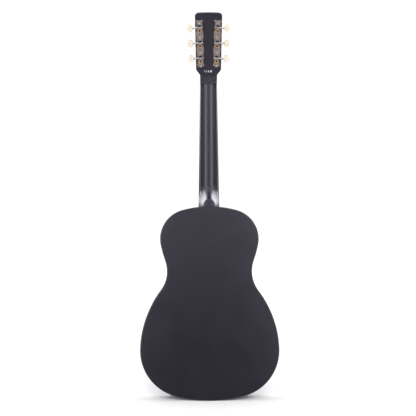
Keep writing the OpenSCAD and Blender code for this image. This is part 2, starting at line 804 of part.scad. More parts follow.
// An oval button, lofted outward along its shaft and fullest past its middle
button_t = 7.4;
function button_swell(t) = pow(1 - pow(abs(2 * pow(t, 1.1) - 1), 2.5), 0.4);
function button_ring(t, sides) =
    let (
        a = button_h / 2 * button_swell(t),
        b = min(a, button_t / 2 * (0.35 + 0.65 * button_swell(t)))
    )
    [for (j = [0:sides - 1]) let (c = 360 * j / sides) [button_x + button_l * t, a * cos(c), b * sin(c)]];
module button(i) {
    rings = [for (k = [1:10]) button_ring(0.5 - 0.5 * cos(180 * (k + 0.4) / 10.8), 20)];
    color(CREAM) machine(i) translate([0, worm_y, gear_z]) difference() {
        skin(rings);
        along_x(button_x - 1, 9, shaft_r);
    }
}

// ---- Strings ----
function head_point(x, u, h) = [
    x,
    nut_end + u * cos(head_tilt) + h * sin(head_tilt),
    h * cos(head_tilt) - u * sin(head_tilt),
];
function nut_break(i) =
    let (x = x_at(i, nut_spread))
    [x, nut_y + 0.3, crown(x, nut_action) + GAUGES[i - 1] / 2 + eps];
// A string stops just short of its turns round the post, on the inner side of the post
turns_gap = 1.5;
function string_end(i) =
    let (
        s = side_of(i),
        along = slot_of(i) * post_pitch,
        x = s * (post_x + along * sin(row_angle) - post_r - GAUGES[i - 1] / 2),
        u = post_u + along * cos(row_angle)
    )
    head_point(x, u - turns_gap, string_h);
function string_route(i) =
    let (x = x_at(i, saddle_spread), g = GAUGES[i - 1], top = crown(x, saddle_action) + g / 2 + eps)
    [
        [x, string_hole_y, ball_z],
        [x, string_hole_y, bridge_h - 2.6],
        [x, string_hole_y + 0.5, bridge_h - 1],
        [x, string_hole_y + 1.6, bridge_h + 0.6],
        [x, saddle_y - saddle_t / 2 - 0.1, top],
        nut_break(i),
        string_end(i),
    ];
ball_r = 1.9;
ball_z = -top_t - plate_t - ball_r - eps;
function unit(v) = v / norm(v);
function tangent(path, k) =
    k == 0 ? unit(path[1] - path[0]) :
    k == len(path) - 1 ? unit(path[k] - path[k - 1]) :
    unit(unit(path[k + 1] - path[k]) + unit(path[k] - path[k - 1]));
function tube_ring(p, t, r, sides) =
    let (a = unit([1, 0, 0] - t.x * t), b = cross(t, a))
    [for (j = [0:sides - 1]) p + r * (cos(360 * j / sides) * a + sin(360 * j / sides) * b)];
module strings() {
    color(STEEL) stand() for (i = [1:6]) {
        path = string_route(i);
        skin([for (k = [0:len(path) - 1]) tube_ring(path[k], tangent(path, k), GAUGES[i - 1] / 2, 8)]);
        translate([x_at(i, saddle_spread), string_hole_y, ball_z]) along_x(-1.7, 3.4, ball_r, 24);
    }
}

back_plate();
side(-1);  // side_bass
side(1);  // side_treble
soundboard();
top_binding();
neck_block();
tail_block();
end_graft();
linings();
top_bracing();
back_bracing();
rosette();
bridge();
saddle();
bridge_pins();
neck();
headstock();
heel_cap();
fingerboard();
frets();
fret_markers();
nut();
truss_rod();
truss_rod_nut();
neck_bolts();
tuner_plate(-1);  // tuner_plate_bass
tuner_plate(1);  // tuner_plate_treble
tuner_screws();
tuner_bushings();
strings();
for (i = [1:6]) {
    button(i);
    worm_shaft(i);
    gear(i);
    gear_screw(i);
    string_post(i);
}
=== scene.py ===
"""The looks of a small black acoustic guitar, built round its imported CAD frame.

Lengths in the code are millimetres in the bench frame that the guitar is drawn in: x across,
y up the neck from the tail, z out of the soundboard. bench() turns them into world metres.
"""

import json
import math
import bpy
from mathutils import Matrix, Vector


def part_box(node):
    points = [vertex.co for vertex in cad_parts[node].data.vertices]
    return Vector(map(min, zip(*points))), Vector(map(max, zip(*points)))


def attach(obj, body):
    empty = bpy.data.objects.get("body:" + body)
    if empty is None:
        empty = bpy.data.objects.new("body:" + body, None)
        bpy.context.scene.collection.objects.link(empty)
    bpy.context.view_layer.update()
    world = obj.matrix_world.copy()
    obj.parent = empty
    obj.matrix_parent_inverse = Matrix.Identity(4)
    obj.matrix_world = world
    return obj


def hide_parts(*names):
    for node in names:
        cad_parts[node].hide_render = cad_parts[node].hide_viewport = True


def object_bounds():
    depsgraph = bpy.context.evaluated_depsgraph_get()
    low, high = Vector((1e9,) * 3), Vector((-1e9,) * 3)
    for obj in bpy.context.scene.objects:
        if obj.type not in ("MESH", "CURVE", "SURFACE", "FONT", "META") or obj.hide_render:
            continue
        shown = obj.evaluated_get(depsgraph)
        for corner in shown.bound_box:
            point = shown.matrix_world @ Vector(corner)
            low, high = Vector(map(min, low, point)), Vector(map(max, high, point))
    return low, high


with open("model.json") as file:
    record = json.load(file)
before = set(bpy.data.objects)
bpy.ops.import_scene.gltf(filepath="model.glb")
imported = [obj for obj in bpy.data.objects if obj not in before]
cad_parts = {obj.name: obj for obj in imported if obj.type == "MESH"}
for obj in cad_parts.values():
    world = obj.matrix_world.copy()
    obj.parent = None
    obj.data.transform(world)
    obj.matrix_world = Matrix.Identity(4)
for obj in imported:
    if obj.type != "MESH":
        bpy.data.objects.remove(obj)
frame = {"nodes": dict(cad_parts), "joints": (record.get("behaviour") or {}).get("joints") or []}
NODES = frame["nodes"]
JOINTS = {joint["name"]: joint for joint in frame["joints"]}
for leftover in ("Cube", "Light", "Camera"):
    if leftover in bpy.data.objects:
        bpy.data.objects.remove(bpy.data.objects[leftover])
CAD_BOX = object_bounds()

MM = 0.001
PLANE_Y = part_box("soundboard")[0].y  # world Y of the soundboard's outer face
MACHINES = range(1, 7)

# ---- Driving dimensions, as the CAD has them (HW: half-width, T: thickness, Q: depth) ----
# Radius and sweep in degrees of each arc of the outline, from the tail
ARCS = [(324, 14.9), (114.6, 76.9), (245.7, 35.3), (-78.3, 56.9), (265.3, 8.6), (71.6, 85.4)]
OUTLINE_STEP = 4
BODY_DEPTH = 100
DOME_R = 4500
DOME_Y = 110.5
BACK_T = 2.8
SCALE = 628
NUT_LEN = 5
NUT_HW = 21
JOINT_HW = 25.5
NECK_D_NUT = 16
NECK_D_JOINT = 18
NECK_POWER = 2.3
HEEL_Q = 14
HEEL_FLARE = 34
CAP_HW = 14.5
CAP_LEN = 18.4
CAP_T = 2.5
TILT = math.radians(14)
HEAD_LEN = 164.3
HEAD_T = 14
HEAD_LOW_HW = 31
HEAD_TIP_HW = 33.8
SHOULDER = (7, 26)  # where the headstock starts and stops widening
CORNER_R = 7
TIP_CROWN = 1.5
BUTTON_X = 17.3
BUTTON_L = 12.5
BUTTON_H = 19
BUTTON_T = 7.4
GAUGES = [0.3, 0.41, 0.61, 0.81, 1.07, 1.35]
NUT_SPREAD = 36
SADDLE_SPREAD = 54
BOARD_R = 304.8


# ---- Places ----
def bench(x, y, z):
    return Vector((x * MM, PLANE_Y - z * MM, y * MM))


def ease(t):
    t = min(max(t, 0), 1)
    return t * t * (3 - 2 * t)


def mix(a, b, t):
    return a + (b - a) * t


def left_of(heading):
    return Vector((-math.sin(heading), math.cos(heading)))


def half_outline(inset):
    """The treble half of the body's outline, from the tail to the top, as a chain of arcs."""
    at, heading, points = Vector((0, inset)), 0.0, [Vector((0, inset))]
    for radius, sweep in ARCS:
        r = radius - inset
        turn = math.copysign(math.radians(sweep), radius)
        count = math.ceil(abs(radius * turn) / OUTLINE_STEP)
        centre = at + r * left_of(heading)
        points += [centre - r * left_of(heading + turn * k / count) for k in range(1, count + 1)]
        at, heading = points[-1], heading + turn
    r = at.x / math.sin(heading)
    count = math.ceil((r + inset) * (math.pi - heading) / OUTLINE_STEP)
    centre = at + r * left_of(heading)
    points += [
        centre - r * left_of(heading + (math.pi - heading) * k / count)
        for k in range(1, count + 1)
    ]
    points[-1].x = 0
    return points


def outline(inset):
    half = half_outline(inset)
    return half + [Vector((-p.x, p.y)) for p in half[-2:0:-1]]


def dome(x, y):
    """Depth of the back's outer face."""
    return BODY_DEPTH - (x * x + (y - DOME_Y) ** 2) / (2 * DOME_R)


BODY_LEN = half_outline(0)[-1].y
NUT_Y = BODY_LEN + SCALE / 2
NUT_END = NUT_Y + NUT_LEN
SADDLE_Y = NUT_Y - SCALE
CAP_Q = dome(0, BODY_LEN) - CAP_T


def head_point(x, u, h):
    """A point on the headstock: u up its face from the nut, h out of its face."""
    return bench(
        x,
        NUT_END + u * math.cos(TILT) + h * math.sin(TILT),
        h * math.cos(TILT) - u * math.sin(TILT),
    )


# ---- Mesh helpers ----
def make_piece(name, verts, faces, look, body, replaced=()):
    mesh = bpy.data.meshes.new(name)
    mesh.from_pydata([tuple(v) for v in verts], [], faces)
    mesh.validate()
    mesh.polygons.foreach_set("use_smooth", [True] * len(mesh.polygons))
    piece = bpy.data.objects.new(name, mesh)
    bpy.context.scene.collection.objects.link(piece)
    mesh.materials.append(look)
    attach(piece, body)
    if replaced:
        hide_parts(*replaced)
    return piece


def skin(rings, closed_ends=True):
    """Vertices and faces of a tube over rings with the same number of points."""
    m, verts = len(rings[0]), [p for ring in rings for p in ring]
    faces = [
        (i * m + j, i * m + (j + 1) % m, (i + 1) * m + (j + 1) % m, (i + 1) * m + j)
        for i in range(len(rings) - 1)
        for j in range(m)
    ]
    if closed_ends:
        for start, ring, flip in ((0, rings[0], True), ((len(rings) - 1) * m, rings[-1], False)):
            verts.append(sum(ring, Vector()) / m)
            hub = len(verts) - 1
            for j in range(m):
                a, b = start + j, start + (j + 1) % m
                faces.append((hub, b, a) if flip else (hub, a, b))
    return verts, faces


def sharpen(piece, angle):
    piece.data.set_sharp_from_angle(angle=math.radians(angle))


def sweep(path, radius, sides):
    """Rings round a path, kept from twisting."""
    rings, side = [], Vector((1, 0, 0))
    for k, point in enumerate(path):
        ahead = (path[min(k + 1, len(path) - 1)] - path[max(k - 1, 0)]).normalized()
        side = (side - ahead * side.dot(ahead)).normalized()
        up = ahead.cross(side)
        rings.append([
            point + radius * (math.cos(a) * side + math.sin(a) * up)
            for a in (2 * math.pi * j / sides for j in range(sides))
        ])
    return rings


# ---- Materials ----
class Look:
    """A procedural material: a Principled shader and the nodes that drive it."""

    def __init__(self, name, color, roughness, metallic=0.0, **sockets):
        self.material = bpy.data.materials.new(name)
        self.material.use_nodes = True
        self.tree = self.material.node_tree
        self.shader = self.tree.nodes["Principled BSDF"]
        self.shader.inputs["Base Color"].default_value = (*color, 1)
        self.shader.inputs["Roughness"].default_value = roughness
        self.shader.inputs["Metallic"].default_value = metallic
        for socket, value in sockets.items():
            self.shader.inputs[socket.replace("_", " ")].default_value = value

    def node(self, kind, **settings):
        node = self.tree.nodes.new(kind)
        for key, value in settings.items():
            if key in node.inputs:
                node.inputs[key].default_value = value
            else:
                setattr(node, key, value)
        return node

    def link(self, out, into):
        self.tree.links.new(out, into)

    def place(self, stretch=(1, 1, 1)):
        """The piece's own coordinates in millimetres, squeezed along the grain."""
        coordinates = self.node("ShaderNodeTexCoord")
        scaled = self.node("ShaderNodeMapping")
        scaled.inputs["Scale"].default_value = [s / MM for s in stretch]
        self.link(coordinates.outputs["Object"], scaled.inputs["Vector"])
        return scaled.outputs["Vector"]

    def noise(self, scale, stretch=(1, 1, 1), detail=3.0):
        texture = self.node("ShaderNodeTexNoise", Scale=scale, Detail=detail)
        self.link(self.place(stretch), texture.inputs["Vector"])
        return texture.outputs["Fac"]

    def ramp(self, value, low, high, from_low=0.35, from_high=0.65):
        """value mapped on to low .. high, which are both numbers."""
        spread = self.node(
            "ShaderNodeMapRange",
            **{"From Min": from_low, "From Max": from_high, "To Min": low, "To Max": high},
        )
        self.link(value, spread.inputs["Value"])
        return spread.outputs["Result"]

    def tint(self, value, dark, light, from_low=0.3, from_high=0.7):
        """Base colour between two colours, as value goes from low to high."""
        ramp = self.node("ShaderNodeValToRGB")
        ramp.color_ramp.elements[0].position = from_low
        ramp.color_ramp.elements[0].color = (*dark, 1)
        ramp.color_ramp.elements[1].position = from_high
        ramp.color_ramp.elements[1].color = (*light, 1)
        self.link(value, ramp.inputs["Fac"])
        self.link(ramp.outputs["Color"], self.shader.inputs["Base Color"])

    def rough(self, value, low, high):
        self.link(self.ramp(value, low, high), self.shader.inputs["Roughness"])

    def bump(self, value, depth, strength=1.0):
        bump = self.node("ShaderNodeBump", Distance=depth * MM, Strength=strength)
        self.link(value, bump.inputs["Height"])
        if self.shader.inputs["Normal"].is_linked:
            before = self.shader.inputs["Normal"].links[0].from_socket
            self.link(before, bump.inputs["Normal"])
        self.link(bump.outputs["Normal"], self.shader.inputs["Normal"])


GRAIN_UP = (1, 1, 0.05)  # fibres along the neck
GRAIN_ACROSS = (0.05, 1, 1)


def lacquer(name, roughness):
    look = Look(name, (0.009, 0.0079, 0.0142), roughness, IOR=1.5)
    mottle = look.noise(0.02, detail=2)
    look.tint(mottle, (0.0084, 0.0074, 0.0134), (0.0096, 0.0085, 0.015))
    look.rough(mottle, roughness - 0.01, roughness + 0.01)
    look.bump(look.noise(1.1, GRAIN_UP, detail=2), 0.0012)
    return look.material


def wood(name, dark, light, roughness, grain, ring=0.55, pore=0.03):
    look = Look(name, light, roughness)
    fibre = look.noise(ring, grain, detail=5)
    look.tint(fibre, dark, light)
    look.rough(fibre, roughness + 0.08, roughness - 0.05)
    look.bump(look.noise(2.4, grain, detail=2), pore)
    return look.material


def metal(name, dark, light, roughness, brushed=(1, 1, 1), tarnish=0.25, scratch=0.004):
    look = Look(name, light, roughness, metallic=1.0)
    cloud = look.noise(tarnish, detail=6)
    look.tint(cloud, dark, light)
    look.rough(cloud, roughness + 0.1, roughness - 0.06)
    look.bump(look.noise(4, brushed, detail=2), scratch)
    return look.material


def plastic(name, dark, light, roughness, **sockets):
    look = Look(name, light, roughness, **sockets)
    cloud = look.noise(0.18, detail=4)
    look.tint(cloud, dark, light)
    look.rough(cloud, roughness - 0.04, roughness + 0.06)
    look.bump(look.noise(0.9), 0.01)
    return look.material


def wound_wire():
    """Bronze windings round a string that runs up the guitar."""
    look = Look("wound_bronze", (0.45, 0.27, 0.12), 0.3, metallic=1.0)
    look.tint(look.noise(0.4), (0.34, 0.19, 0.08), (0.5, 0.31, 0.15))
    turns = look.node("ShaderNodeTexWave", Scale=1.0, bands_direction="Z")
    look.link(look.place(), turns.inputs["Vector"])
    look.bump(turns.outputs["Fac"], 0.05)
    return look.material


LACQUER = lacquer("black_lacquer", 0.25)
NECK_LACQUER = lacquer("neck_lacquer", 0.3)
SPRUCE = wood("spruce", (0.42, 0.27, 0.13), (0.62, 0.45, 0.25), 0.6, GRAIN_UP)
BRACE_SPRUCE = wood("brace_spruce", (0.45, 0.3, 0.15), (0.66, 0.49, 0.28), 0.6, GRAIN_ACROSS)
MAHOGANY = wood("mahogany", (0.11, 0.045, 0.022), (0.2, 0.085, 0.042), 0.6, GRAIN_UP)
ROSEWOOD = wood(
    "rosewood", (0.012, 0.006, 0.004), (0.055, 0.026, 0.014), 0.42, GRAIN_UP, pore=0.06
)
BRIDGE_WOOD = wood(
    "bridge_rosewood", (0.012, 0.006, 0.004), (0.05, 0.024, 0.013), 0.4, GRAIN_ACROSS, pore=0.05
)
BONE = plastic("bone", (0.66, 0.6, 0.47), (0.78, 0.73, 0.61), 0.3)
BINDING = plastic("binding", (0.62, 0.55, 0.4), (0.7, 0.63, 0.48), 0.35)
PEARL = plastic("pearl", (0.5, 0.52, 0.5), (0.82, 0.8, 0.74), 0.18, Coat_Weight=0.4)
NICKEL = metal("aged_nickel", (0.17, 0.14, 0.12), (0.36, 0.315, 0.265), 0.4, (1, 1, 0.1))
BRIGHT_NICKEL = metal("bright_nickel", (0.5, 0.48, 0.45), (0.72, 0.7, 0.66), 0.26)
SCREW_NICKEL = metal("screw_nickel", (0.28, 0.26, 0.24), (0.48, 0.45, 0.42), 0.34)
# The gear screws are near black all over: painted shade for the dark slots in their heads.
SLOT_SHADED_SCREW = metal("screw_painted_slot_shade", (0.02, 0.018, 0.016), (0.07, 0.06, 0.05), 0.45)
BRASS = metal("gear_brass", (0.24, 0.15, 0.075), (0.6, 0.43, 0.25), 0.4, tarnish=0.5)
STEEL = metal("steel", (0.45, 0.45, 0.46), (0.62, 0.62, 0.63), 0.25)
FRET_WIRE = metal("fret_wire", (0.55, 0.54, 0.51), (0.72, 0.71, 0.68), 0.2)
CREAM = plastic(
    "cream_plastic", (0.815, 0.725, 0.57), (0.895, 0.83, 0.7), 0.28, Subsurface_Weight=0.1
)
PAINT = plastic("pale_paint", (0.68, 0.68, 0.68), (0.85, 0.85, 0.85), 0.5)
WOUND = wound_wire()


# ---- CAD nodes that keep their shape ----
def smooth_group():
    """Geometry nodes that join the facets and smooth all but the sharp edges."""
    group = bpy.data.node_groups.new("smooth_facets", "GeometryNodeTree")
    group.interface.new_socket("Geometry", in_out="INPUT", socket_type="NodeSocketGeometry")
    group.interface.new_socket("Geometry", in_out="OUTPUT", socket_type="NodeSocketGeometry")
    add = group.nodes.new
    start, end = add("NodeGroupInput"), add("NodeGroupOutput")
    weld = add("GeometryNodeMergeByDistance")
    weld.inputs["Distance"].default_value = 0.002 * MM
    faces, edges = add("GeometryNodeSetShadeSmooth"), add("GeometryNodeSetShadeSmooth")
    edges.domain = "EDGE"
    edges.inputs["Shade Smooth"].default_value = False
    angle = add("GeometryNodeInputMeshEdgeAngle")
    steep = add("FunctionNodeCompare")
    steep.operation = "GREATER_THAN"
    steep.inputs["B"].default_value = math.radians(28)
    link = group.links.new
    link(start.outputs[0], weld.inputs["Geometry"])
    link(weld.outputs[0], faces.inputs["Geometry"])
    link(faces.outputs[0], edges.inputs["Geometry"])
    link(angle.outputs["Unsigned Angle"], steep.inputs["A"])
    link(steep.outputs["Result"], edges.inputs["Selection"])
    link(edges.outputs[0], end.inputs[0])
    return group


SMOOTH = smooth_group()


def dress(look, *names, edge=0.0):
    """Gives CAD nodes a material and smooth faces, and rounds their edges by edge mm."""
    for name in names:
        node = NODES[name]
        for slot in node.material_slots:
            slot.material = look
        if "custom_normal" in node.data.attributes:
            node.data.attributes.remove(node.data.attributes["custom_normal"])
        node.modifiers.new("smooth", "NODES").node_group = SMOOTH
        if edge:
            bevel = node.modifiers.new("edges", "BEVEL")
            bevel.width = edge * MM
            bevel.segments = 2
            bevel.limit_method = "ANGLE"
            bevel.angle_limit = math.radians(40)
            bevel.use_clamp_overlap = False
            bevel.harden_normals = False


def dress_cad():
    dress(LACQUER, "side_bass", "side_treble", "end_graft", "soundboard")
    dress(BINDING, "top_binding")
    dress(MAHOGANY, "neck_block", "tail_block")
    dress(BRACE_SPRUCE, "back_bracing", "top_bracing")
    dress(SPRUCE, "linings")
    dress(PEARL, "rosette", "fret_markers")
    dress(BRIDGE_WOOD, "bridge", edge=0.5)
    dress(ROSEWOOD, "fingerboard")
    dress(BONE, "nut", "saddle", edge=0.3)
    dress(BONE, "bridge_pins")
    dress(FRET_WIRE, "frets")
    dress(STEEL, "truss_rod", "neck_bolts")
    dress(BRASS, "truss_rod_nut")
    dress(NICKEL, "tuner_plate_bass", "tuner_plate_treble", edge=0.2)
    dress(BRIGHT_NICKEL, "tuner_bushings")
    dress(SCREW_NICKEL, "tuner_screws")
    for i in MACHINES:
        dress(BRIGHT_NICKEL, f"worm_shaft_{i}", f"string_post_{i}")
        dress(BRASS, f"gear_{i}", edge=0.12)
        # Near-black gear screws: painted shade for their dark slots.
        dress(SLOT_SHADED_SCREW, f"gear_screw_{i}")


def bare_inside(name, look, inner):
    """Gives the faces of a CAD node that inner() picks a bare look."""
    mesh = NODES[name].data
    mesh.materials.append(look)
    for face in mesh.polygons:
        if inner(face):
            face.material_index = len(mesh.materials) - 1


# ---- Back plate ----
EDGE_R = 1.3
EDGE_RINGS = 6
FACE_RINGS = 28
STAR = Vector((0, 250))  # every point of the outline can be seen from here


def shrunk(rim, t):
    return [STAR + (p - STAR) * t for p in rim]


def build_back():
    """One domed plate with a rounded rim, from the middle of its inside to that of its face."""
    wall, rim = outline(0), outline(EDGE_R)
    levels = [(shrunk(wall, t), BACK_T) for t in (0.01, 0.25, 0.5, 0.75, 0.92)]
    levels.append((wall, BACK_T))
    for k in range(EDGE_RINGS):
        a = math.pi / 2 * k / (EDGE_RINGS - 1)
        levels.append((outline(EDGE_R * (1 - math.cos(a))), EDGE_R * (1 - math.sin(a))))
    for k in range(1, FACE_RINGS):
        levels.append((shrunk(rim, 1 - (k / FACE_RINGS) ** 1.3 * 0.99), 0))
    verts, faces = skin([
        [bench(p.x, p.y, drop - dome(p.x, p.y)) for p in points] for points, drop in levels
    ])
    faces = [f[::-1] for f in faces]
    back = make_piece("back", verts, faces, LACQUER, "guitar", ["back_plate"])
    back.data.materials.append(MAHOGANY)
    for face in back.data.polygons:
        if face.normal.y < -0.9:
            face.material_index = 1
    sharpen(back, 50)


# ---- Neck and headstock ----
PROFILE_TOP = 6
PROFILE_SIDE = 34
HEAD_EDGE_TOP = 0.8
HEAD_EDGE = 1.6
EDGE_TOP_STEPS = 4
EDGE_STEPS = 9
FLANK_STEPS = 6
CROWN_RISE = 14  # how far below the tip its crown starts
FOOT_R = 118  # the neck's foot follows the curve of the body's top edge


def neck_hw(y):
    """Half-width of the shaft, which widens half as fast as the CAD's: a known fault."""
    return NUT_HW + (JOINT_HW - NUT_HW) * max(NUT_Y - y, 0) / SCALE


def neck_q(y):
    """Depth of the shaft."""
    return NECK_D_NUT + (NECK_D_JOINT - NECK_D_NUT) * 2 * max(NUT_Y - y, 0) / SCALE


def heel_fade(q):
    return 1 - min(max((q - HEEL_Q) / (CAP_Q - HEEL_Q), 0), 1)


def heel_w(y, q):
    """Half-width of the heel at a depth."""
    length = CAP_LEN + HEEL_FLARE * heel_fade(q) ** 3
    half = mix(CAP_HW, JOINT_HW - 0.2, heel_fade(q) ** 2)
    s = max(y - BODY_LEN, 0) / length
    return 0 if s >= 1 else half * math.sqrt(1 - s * s)


def shaft_w(y, q):
    s = q / neck_q(y)
    return 0 if s >= 1 else neck_hw(y) * (1 - s**NECK_POWER) ** (1 / NECK_POWER)


def neck_w(y, q):
    """The wider of shaft and heel, with a fillet where they meet."""
    shaft, heel = shaft_w(y, q), heel_w(y, q)
    fillet = 4 * min(q / 8, 1) * heel / (heel + 4)
    return (shaft + heel + math.sqrt((shaft - heel) ** 2 + fillet**2)) / 2


def deepest(y):
    d = y - BODY_LEN
    if d >= CAP_LEN + HEEL_FLARE:
        return neck_q(y)
    root = (max(d - CAP_LEN, 0) / HEEL_FLARE) ** (1 / 3)
    return max(neck_q(y), CAP_Q - (CAP_Q - HEEL_Q) * root)


def neck_profile(y):
    """Half of a section of the neck: (half-width, depth), from the middle of its top."""
    depth, top = deepest(y), neck_hw(y)
    points = [(top * k / PROFILE_TOP, 0) for k in range(PROFILE_TOP)]
    for j in range(PROFILE_SIDE + 1):
        q = depth * math.sin(math.pi / 2 * j / PROFILE_SIDE)
        points.append((max(neck_w(y, q), 0.05), q))
    points.append((0, depth))
    return points


def head_hw(u):
    if u < SHOULDER[1]:
        return mix(NUT_HW, HEAD_LOW_HW, ease((u - SHOULDER[0]) / (SHOULDER[1] - SHOULDER[0])))
    return mix(HEAD_LOW_HW, HEAD_TIP_HW, (u - SHOULDER[1]) / (HEAD_LEN - SHOULDER[1]))


CORNER_U = HEAD_LEN - TIP_CROWN - CORNER_R


def head_profile(u):
    """Half of a section of the headstock, a rectangle with rounded corners."""
    half, inset = head_hw(u), 0.0
    if u > CORNER_U:
        d = u - CORNER_U
        half = head_hw(CORNER_U) - CORNER_R + math.sqrt(max(CORNER_R**2 - d * d, 0))
    lip = HEAD_EDGE - (HEAD_LEN - TIP_CROWN - u)
    if lip > 0:
        inset = HEAD_EDGE - math.sqrt(max(HEAD_EDGE**2 - lip * lip, 0))
    e0, e1 = HEAD_EDGE_TOP, HEAD_EDGE
    top, bottom = inset * 0.5, HEAD_T - inset
    points = [((half - e0) * k / PROFILE_TOP, top) for k in range(PROFILE_TOP)]
    for j in range(EDGE_TOP_STEPS + 1):
        a = math.pi / 2 * j / EDGE_TOP_STEPS
        points.append((half - e0 + e0 * math.sin(a), top + e0 - e0 * math.cos(a)))
    for j in range(1, FLANK_STEPS):
        points.append((half, mix(top + e0, bottom - e1, j / FLANK_STEPS)))
    for j in range(EDGE_STEPS + 1):
        a = math.pi / 2 * j / EDGE_STEPS
        points.append((half - e1 + e1 * math.cos(a), bottom - e1 + e1 * math.sin(a)))
    under = PROFILE_SIDE - EDGE_TOP_STEPS - FLANK_STEPS - EDGE_STEPS
    for j in range(1, under + 1):
        points.append(((half - e1) * (1 - j / (under + 1)), bottom))
    points.append((0, bottom))
    return points


BEND = (-12, 17)  # where the back of the neck starts and stops bending into the headstock
ROUND_END = (-15, -3)  # where its section turns from round to flat


def neck_top(s):
    if s <= 0:
        return Vector((NUT_END + s, 0))
    return Vector((NUT_END + s * math.cos(TILT), -s * math.sin(TILT)))


def neck_bottom(s, depth):
    if s <= BEND[0]:
        return Vector((NUT_END + s, -depth))
    if s < BEND[1]:
        t = (s - BEND[0]) / (BEND[1] - BEND[0])
        start, end = neck_bottom(BEND[0], NECK_D_NUT), neck_bottom(BEND[1], HEAD_T)
        pull = (end - start).length / 3
        a, b = start + Vector((pull, 0)), end - pull * Vector((math.cos(TILT), -math.sin(TILT)))
        return (
            (1 - t) ** 3 * start + 3 * t * (1 - t) ** 2 * a + 3 * t * t * (1 - t) * b + t**3 * end
        )
    return Vector((
        NUT_END + s * math.cos(TILT) - depth * math.sin(TILT),
        -s * math.sin(TILT) - depth * math.cos(TILT),
    ))


def neck_ring(s):
    """One section, s mm up from the end of the nut."""
    y, u = NUT_END + min(s, 0), max(s, 0)
    weight = ease((s - ROUND_END[0]) / (ROUND_END[1] - ROUND_END[0]))
    neck, head = neck_profile(y), head_profile(u)
    half = [(mix(a[0], b[0], weight), mix(a[1], b[1], weight)) for a, b in zip(neck, head)]
    depth = mix(deepest(y), HEAD_T, weight)
    top, bottom = neck_top(s), neck_bottom(s, depth)
    rise = ease((u - HEAD_LEN + CROWN_RISE) / CROWN_RISE)
    ring = []
    for x, q in half:
        at = top + (bottom - top) * (q / depth)
        if rise:
            lift = TIP_CROWN * (1 - (x / head_hw(u)) ** 2) * rise
            at = at + lift * Vector((math.cos(TILT), -math.sin(TILT)))
        ring.append((x, at))
    if y < BODY_LEN + 1:
        ring = [(x, at - Vector((FOOT_R - math.sqrt(FOOT_R**2 - x * x), 0))) for x, at in ring]
    right = [bench(x, at.x, at.y) for x, at in ring]
    left = [bench(-x, at.x, at.y) for x, at in ring[-2:0:-1]]
    return right + left


def neck_stations():
    foot = BODY_LEN - NUT_END
    stations = [foot - 0.3, foot + 1.5]
    stations += [foot + CAP_LEN * math.sin(math.pi / 2 * k / 14) for k in range(2, 14)]
    stations += [foot + CAP_LEN + HEEL_FLARE * (k / 36) ** 2.6 for k in range(37)]
    shaft = stations[-1]
    stations += [mix(shaft, BEND[0], k / 30) for k in range(1, 31)]
    stations += [mix(BEND[0], SHOULDER[1] + 4, k / 40) for k in range(1, 41)]
    stations += [mix(SHOULDER[1] + 4, CORNER_U, k / 14) for k in range(1, 15)]
    end = HEAD_LEN - TIP_CROWN
    stations += [CORNER_U + (end - CORNER_U) * math.sin(math.pi / 2 * k / 14) for k in range(1, 15)]
    return stations


def build_neck():
    """Neck, heel and headstock carved in one, which is how the lacquer hides their joint."""
    verts, faces = skin([neck_ring(s) for s in neck_stations()])
    neck = make_piece(
        "neck_and_headstock", verts, faces, NECK_LACQUER, "guitar",
        ["neck", "headstock"],
    )
    sharpen(neck, 50)


CAP_STEPS = 40
CAP_EDGE = [(0, 0.5), (0.04, 0.3), (0.15, 0.14), (0.3, 0.04), (0.5, 0)]  # inset and drop


def cap_rim(inset):
    """Half an oval that stands on the body's top edge."""
    points = []
    for k in range(CAP_STEPS + 1):
        a = math.pi * k / CAP_STEPS
        x = (CAP_HW - inset) * math.cos(a)
        points.append(Vector((x, BODY_LEN + 0.1 + (CAP_LEN - inset) * math.sin(a))))
    return points


def build_heel_cap():
    """The cap on the heel, whose face carries on the dome of the back."""
    rings = [[bench(p.x, p.y, -CAP_Q - 0.05) for p in cap_rim(0)]]
    for inset, drop in CAP_EDGE:
        rings.append([bench(p.x, p.y, drop - dome(p.x, p.y)) for p in cap_rim(inset)])
    verts, faces = skin(rings)
    cap = make_piece(
        "heel_cap_domed", verts, faces, LACQUER, "guitar", ["heel_cap"]
    )
    sharpen(cap, 50)


# ---- Tuning machines ----
def machine_axes(i):
    """Origin on the worm's axis, then outward, up the headstock and out of its face."""
    knob, post = JOINTS[f"tuner_{i}"], JOINTS[f"post_{i}_turn"]
    out, front = Vector(knob["axis"]).normalized(), -Vector(post["axis"]).normalized()
    up = front.cross(out)
    return Vector(knob["pos_m"]), out, up if up.z > 0 else -up, front


def button_swell(t):
    """1 where a button is fullest, and 0 at its two ends."""
    return (1 - abs(2 * t**1.1 - 1) ** 2.5) ** 0.4


COLLAR = (1.9, 2.9, 3.0)  # radii of the collar where the shaft enters a button
COLLAR_L = 0.6
BUTTON_SIDES = 48
BUTTON_RINGS = 30


def build_buttons():
    """Oval buttons, fullest past their middle, each with a collar."""
    turn = [2 * math.pi * j / BUTTON_SIDES for j in range(BUTTON_SIDES)]
    sections = [(BUTTON_X - COLLAR_L, r, r) for r in COLLAR]  # place, half-height, half-depth
    for k in range(BUTTON_RINGS + 1):
        t = 0.5 - 0.5 * math.cos(math.pi * (k + 0.8) / (BUTTON_RINGS + 1.3))
        a = max(BUTTON_H / 2 * button_swell(t), COLLAR[-1] if t < 0.1 else 0)
        b = min(a, BUTTON_T / 2 * (0.35 + 0.65 * button_swell(t)))
        sections.append((BUTTON_X + BUTTON_L * t, a, b))
    for i in MACHINES:
        origin, out, up, front = machine_axes(i)
        verts, faces = skin([
            [
                origin + MM * (at * out + a * math.cos(c) * up + b * math.sin(c) * front)
                for c in turn
            ]
            for at, a, b in sections
        ])
        if out.cross(up).dot(front) < 0:
            faces = [f[::-1] for f in faces]
        make_piece(
            f"button_oval_{i}", verts, faces, CREAM, f"knob_{i}", [f"button_{i}"]
        )


